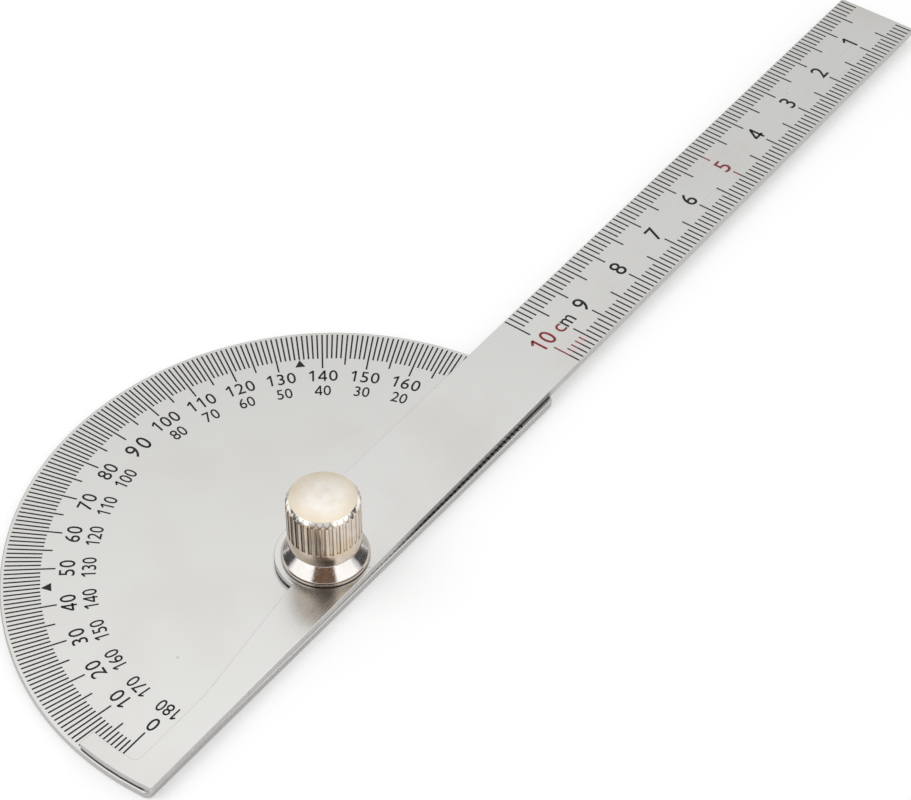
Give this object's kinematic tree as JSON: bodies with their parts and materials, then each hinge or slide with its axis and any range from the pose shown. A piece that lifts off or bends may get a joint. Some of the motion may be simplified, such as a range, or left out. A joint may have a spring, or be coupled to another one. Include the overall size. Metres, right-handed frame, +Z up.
{
  "type": "goniometer",
  "caption": "Flat steel goniometer: half-round degree plate with a hooked ruler arm turning on it, clamped at the pivot by a knurled thumb nut on a flared washer.",
  "frame": {"origin": "on the pivot axis, at the underside of the scale plate, where the part rests", "axes": "+X along the plate's straight reference edge towards the arm's free end, +Y from the straight edge towards the round edge, +Z up through the thumb nut"},
  "size_m": [0.1971, 0.0522, 0.0142],
  "materials": {
    "plate_steel": "fine brushed stainless sheet with printed black scale",
    "stud_steel": "turned steel, satin",
    "arm_steel": "fine brushed stainless sheet with printed black and red scale",
    "washer_nickel": "polished nickel plate",
    "nut_nickel": "warm nickel plate over brass, polished, straight knurl"
  },
  "bodies": {
    "plate": {"scale_plate": "plate_steel", "pivot_stud": "stud_steel"},
    "arm": {"ruler_arm": "arm_steel"},
    "washer": {"flared_washer": "washer_nickel"},
    "nut": {"thumb_nut": "nut_nickel"}
  },
  "joints": [
    {"name": "arm_turn", "type": "hinge", "parent": "plate", "child": "arm", "pos_m": [0, 0, 0], "axis": [0, 0, 1], "continuous": true},
    {"name": "nut_lift", "type": "slide", "parent": "plate", "child": "washer", "axis": [0, 0, 1], "range_m": [0, 0.0014]},
    {"name": "nut_turn", "type": "hinge", "parent": "washer", "child": "nut", "pos_m": [0, 0, 0], "axis": [0, 0, 1], "range_deg": [0, 720]}
  ],
  "couplings": [
    {"joint": "nut_turn", "follows": "nut_lift", "rad_per_m": 8976}
  ]
}
